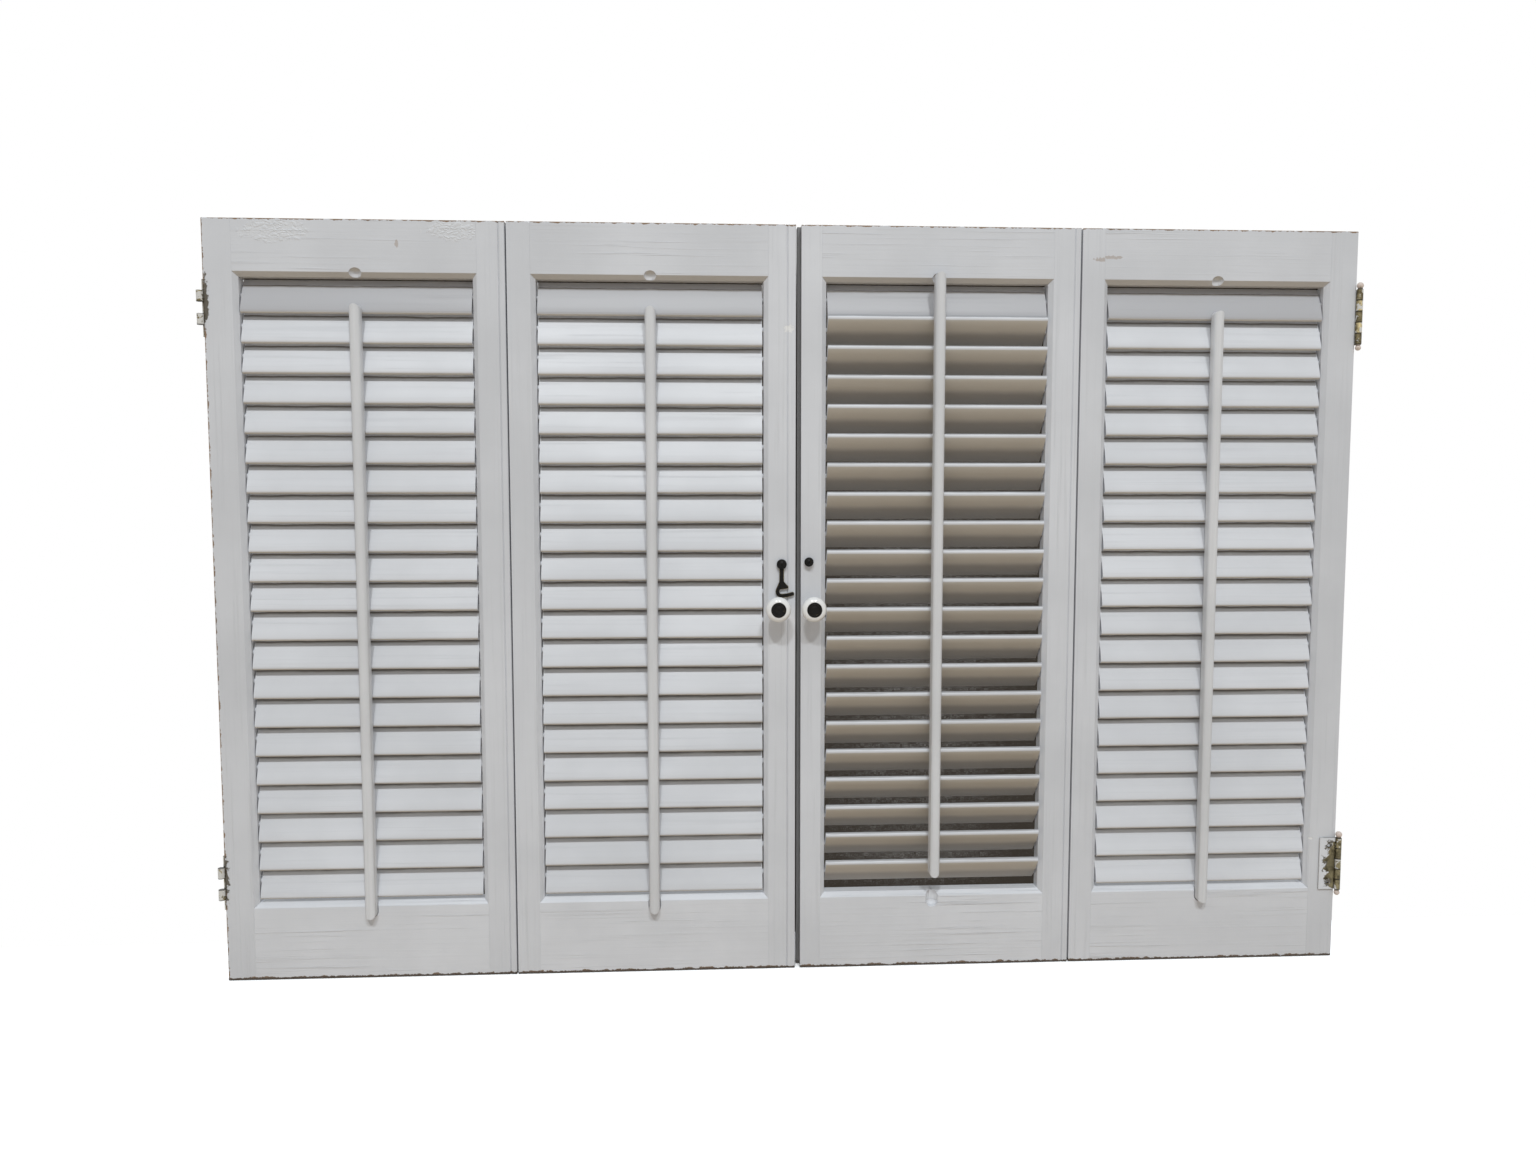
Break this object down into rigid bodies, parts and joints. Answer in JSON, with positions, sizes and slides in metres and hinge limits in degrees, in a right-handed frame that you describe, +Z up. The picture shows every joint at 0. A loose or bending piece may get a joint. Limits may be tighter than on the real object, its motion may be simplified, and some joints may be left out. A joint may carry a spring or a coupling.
{
  "type": "louvred shutters",
  "caption": "Painted wooden interior shutters in two folding pairs, with louvres on tilt rods, back hinges, knobs and a hook latch.",
  "frame": {"origin": "bottom edge of the set at its middle, on the panels' front faces", "axes": "+X to the right seen from the room, +Y to the back, +Z up"},
  "size_m": [1.0106, 0.0483, 0.66],
  "materials": {
    "frame_paint": "old white paint",
    "louvre_paint": "old white paint",
    "brass": "brass with worn white paint",
    "black_iron": "black, rubbed",
    "porcelain": "gloss"
  },
  "bodies": {
    "jamb_leaf": {"right_jamb_leaf": "brass"},
    "panel_1": {"panel_1_left_stile": "frame_paint", "panel_1_right_stile": "frame_paint", "panel_1_top_rail": "frame_paint", "panel_1_bottom_rail": "frame_paint", "panel_1_fold_leaves": "brass", "panel_1_louvres": "louvre_paint", "panel_1_tilt_rod": "louvre_paint", "panel_1_edge_leaves": "brass"},
    "panel_2": {"panel_2_left_stile": "frame_paint", "panel_2_right_stile": "frame_paint", "panel_2_top_rail": "frame_paint", "panel_2_bottom_rail": "frame_paint", "panel_2_fold_leaves": "brass", "panel_2_louvres": "louvre_paint", "panel_2_tilt_rod": "louvre_paint", "panel_2_knob": "porcelain", "panel_2_knob_screw": "black_iron", "hook_screw": "black_iron"},
    "panel_3": {"panel_3_left_stile": "frame_paint", "panel_3_right_stile": "frame_paint", "panel_3_top_rail": "frame_paint", "panel_3_bottom_rail": "frame_paint", "panel_3_fold_leaves": "brass", "panel_3_louvre_01": "louvre_paint", "panel_3_knob": "porcelain", "panel_3_knob_screw": "black_iron", "catch_stud": "black_iron"},
    "panel_4": {"panel_4_left_stile": "frame_paint", "panel_4_right_stile": "frame_paint", "panel_4_top_rail": "frame_paint", "panel_4_bottom_rail": "frame_paint", "panel_4_fold_leaves": "brass", "panel_4_louvres": "louvre_paint", "panel_4_tilt_rod": "louvre_paint", "panel_4_edge_leaves": "brass", "panel_4_hinge_pins": "brass"},
    "loose_leaf": {"loose_leaf": "brass"},
    "latch_hook": {"latch_hook": "black_iron"},
    "louvre_02": {"panel_3_louvre_02": "louvre_paint"},
    "louvre_03": {"panel_3_louvre_03": "louvre_paint"},
    "louvre_04": {"panel_3_louvre_04": "louvre_paint"},
    "louvre_05": {"panel_3_louvre_05": "louvre_paint"},
    "louvre_06": {"panel_3_louvre_06": "louvre_paint"},
    "louvre_07": {"panel_3_louvre_07": "louvre_paint"},
    "louvre_08": {"panel_3_louvre_08": "louvre_paint"},
    "louvre_09": {"panel_3_louvre_09": "louvre_paint"},
    "louvre_10": {"panel_3_louvre_10": "louvre_paint"},
    "louvre_11": {"panel_3_louvre_11": "louvre_paint"},
    "louvre_12": {"panel_3_louvre_12": "louvre_paint"},
    "louvre_13": {"panel_3_louvre_13": "louvre_paint"},
    "louvre_14": {"panel_3_louvre_14": "louvre_paint"},
    "louvre_15": {"panel_3_louvre_15": "louvre_paint"},
    "louvre_16": {"panel_3_louvre_16": "louvre_paint"},
    "louvre_17": {"panel_3_louvre_17": "louvre_paint"},
    "louvre_18": {"panel_3_louvre_18": "louvre_paint"},
    "louvre_19": {"panel_3_louvre_19": "louvre_paint"},
    "louvre_20": {"panel_3_louvre_20": "louvre_paint"},
    "louvre_21": {"panel_3_louvre_21": "louvre_paint"},
    "tilt_rod": {"panel_3_tilt_rod": "louvre_paint"}
  },
  "joints": [
    {"name": "left_pair_swing", "type": "hinge", "parent": "jamb_leaf", "child": "panel_1", "pos_m": [-0.5025, -0.0024, 0.33], "axis": [0, 0, -1], "range_deg": [0, 170]},
    {"name": "left_pair_fold", "type": "hinge", "parent": "panel_1", "child": "panel_2", "pos_m": [-0.2519, 0.0224, 0.33], "axis": [0, 0, 1], "range_deg": [0, 175]},
    {"name": "right_pair_swing", "type": "hinge", "parent": "jamb_leaf", "child": "panel_4", "pos_m": [0.5025, -0.0024, 0.33], "axis": [0, 0, 1], "range_deg": [0, 170]},
    {"name": "right_pair_fold", "type": "hinge", "parent": "panel_4", "child": "panel_3", "pos_m": [0.2479, 0.0224, 0.33], "axis": [0, 0, -1], "range_deg": [0, 175]},
    {"name": "loose_leaf_turn", "type": "hinge", "parent": "panel_4", "child": "loose_leaf", "pos_m": [0.5025, -0.0024, 0.088], "axis": [0, 0, 1], "range_deg": [0, 270]},
    {"name": "hook_swing", "type": "hinge", "parent": "panel_2", "child": "latch_hook", "pos_m": [-0.0117, -0.0013, 0.3665], "axis": [0, -1, 0], "range_deg": [0, 94.76]},
    {"name": "louvre_02_tilt", "type": "hinge", "parent": "panel_3", "child": "louvre_02", "pos_m": [0.1253, 0.0095, 0.571], "axis": [1, 0, 0], "range_deg": [0, 114]},
    {"name": "louvre_03_tilt", "type": "hinge", "parent": "panel_3", "child": "louvre_03", "pos_m": [0.1253, 0.0095, 0.5455], "axis": [1, 0, 0], "range_deg": [0, 114]},
    {"name": "louvre_04_tilt", "type": "hinge", "parent": "panel_3", "child": "louvre_04", "pos_m": [0.1253, 0.0095, 0.52], "axis": [1, 0, 0], "range_deg": [0, 114]},
    {"name": "louvre_05_tilt", "type": "hinge", "parent": "panel_3", "child": "louvre_05", "pos_m": [0.1253, 0.0095, 0.4945], "axis": [1, 0, 0], "range_deg": [0, 114]},
    {"name": "louvre_06_tilt", "type": "hinge", "parent": "panel_3", "child": "louvre_06", "pos_m": [0.1253, 0.0095, 0.469], "axis": [1, 0, 0], "range_deg": [0, 114]},
    {"name": "louvre_07_tilt", "type": "hinge", "parent": "panel_3", "child": "louvre_07", "pos_m": [0.1253, 0.0095, 0.4435], "axis": [1, 0, 0], "range_deg": [0, 114]},
    {"name": "louvre_08_tilt", "type": "hinge", "parent": "panel_3", "child": "louvre_08", "pos_m": [0.1253, 0.0095, 0.418], "axis": [1, 0, 0], "range_deg": [0, 114]},
    {"name": "louvre_09_tilt", "type": "hinge", "parent": "panel_3", "child": "louvre_09", "pos_m": [0.1253, 0.0095, 0.3925], "axis": [1, 0, 0], "range_deg": [0, 114]},
    {"name": "louvre_10_tilt", "type": "hinge", "parent": "panel_3", "child": "louvre_10", "pos_m": [0.1253, 0.0095, 0.367], "axis": [1, 0, 0], "range_deg": [0, 114]},
    {"name": "louvre_11_tilt", "type": "hinge", "parent": "panel_3", "child": "louvre_11", "pos_m": [0.1253, 0.0095, 0.3415], "axis": [1, 0, 0], "range_deg": [0, 114]},
    {"name": "louvre_12_tilt", "type": "hinge", "parent": "panel_3", "child": "louvre_12", "pos_m": [0.1253, 0.0095, 0.316], "axis": [1, 0, 0], "range_deg": [0, 114]},
    {"name": "louvre_13_tilt", "type": "hinge", "parent": "panel_3", "child": "louvre_13", "pos_m": [0.1253, 0.0095, 0.2905], "axis": [1, 0, 0], "range_deg": [0, 114]},
    {"name": "louvre_14_tilt", "type": "hinge", "parent": "panel_3", "child": "louvre_14", "pos_m": [0.1253, 0.0095, 0.265], "axis": [1, 0, 0], "range_deg": [0, 114]},
    {"name": "louvre_15_tilt", "type": "hinge", "parent": "panel_3", "child": "louvre_15", "pos_m": [0.1253, 0.0095, 0.2395], "axis": [1, 0, 0], "range_deg": [0, 114]},
    {"name": "louvre_16_tilt", "type": "hinge", "parent": "panel_3", "child": "louvre_16", "pos_m": [0.1253, 0.0095, 0.214], "axis": [1, 0, 0], "range_deg": [0, 114]},
    {"name": "louvre_17_tilt", "type": "hinge", "parent": "panel_3", "child": "louvre_17", "pos_m": [0.1253, 0.0095, 0.1885], "axis": [1, 0, 0], "range_deg": [0, 114]},
    {"name": "louvre_18_tilt", "type": "hinge", "parent": "panel_3", "child": "louvre_18", "pos_m": [0.1253, 0.0095, 0.163], "axis": [1, 0, 0], "range_deg": [0, 114]},
    {"name": "louvre_19_tilt", "type": "hinge", "parent": "panel_3", "child": "louvre_19", "pos_m": [0.1253, 0.0095, 0.1375], "axis": [1, 0, 0], "range_deg": [0, 114]},
    {"name": "louvre_20_tilt", "type": "hinge", "parent": "panel_3", "child": "louvre_20", "pos_m": [0.1253, 0.0095, 0.112], "axis": [1, 0, 0], "range_deg": [0, 114]},
    {"name": "louvre_21_tilt", "type": "hinge", "parent": "panel_3", "child": "louvre_21", "pos_m": [0.1253, 0.0095, 0.0865], "axis": [1, 0, 0], "range_deg": [0, 114]},
    {"name": "tilt_rod_link", "type": "hinge", "parent": "louvre_11", "child": "tilt_rod", "pos_m": [0.1253, -0.00328, 0.35474], "axis": [1, 0, 0], "range_deg": [-114, 0]}
  ],
  "couplings": [
    {"joint": "louvre_02_tilt", "follows": "louvre_11_tilt", "ratio": 1},
    {"joint": "louvre_03_tilt", "follows": "louvre_11_tilt", "ratio": 1},
    {"joint": "louvre_04_tilt", "follows": "louvre_11_tilt", "ratio": 1},
    {"joint": "louvre_05_tilt", "follows": "louvre_11_tilt", "ratio": 1},
    {"joint": "louvre_06_tilt", "follows": "louvre_11_tilt", "ratio": 1},
    {"joint": "louvre_07_tilt", "follows": "louvre_11_tilt", "ratio": 1},
    {"joint": "louvre_08_tilt", "follows": "louvre_11_tilt", "ratio": 1},
    {"joint": "louvre_09_tilt", "follows": "louvre_11_tilt", "ratio": 1},
    {"joint": "louvre_10_tilt", "follows": "louvre_11_tilt", "ratio": 1},
    {"joint": "louvre_12_tilt", "follows": "louvre_11_tilt", "ratio": 1},
    {"joint": "louvre_13_tilt", "follows": "louvre_11_tilt", "ratio": 1},
    {"joint": "louvre_14_tilt", "follows": "louvre_11_tilt", "ratio": 1},
    {"joint": "louvre_15_tilt", "follows": "louvre_11_tilt", "ratio": 1},
    {"joint": "louvre_16_tilt", "follows": "louvre_11_tilt", "ratio": 1},
    {"joint": "louvre_17_tilt", "follows": "louvre_11_tilt", "ratio": 1},
    {"joint": "louvre_18_tilt", "follows": "louvre_11_tilt", "ratio": 1},
    {"joint": "louvre_19_tilt", "follows": "louvre_11_tilt", "ratio": 1},
    {"joint": "louvre_20_tilt", "follows": "louvre_11_tilt", "ratio": 1},
    {"joint": "louvre_21_tilt", "follows": "louvre_11_tilt", "ratio": 1},
    {"joint": "tilt_rod_link", "follows": "louvre_11_tilt", "ratio": -1}
  ]
}
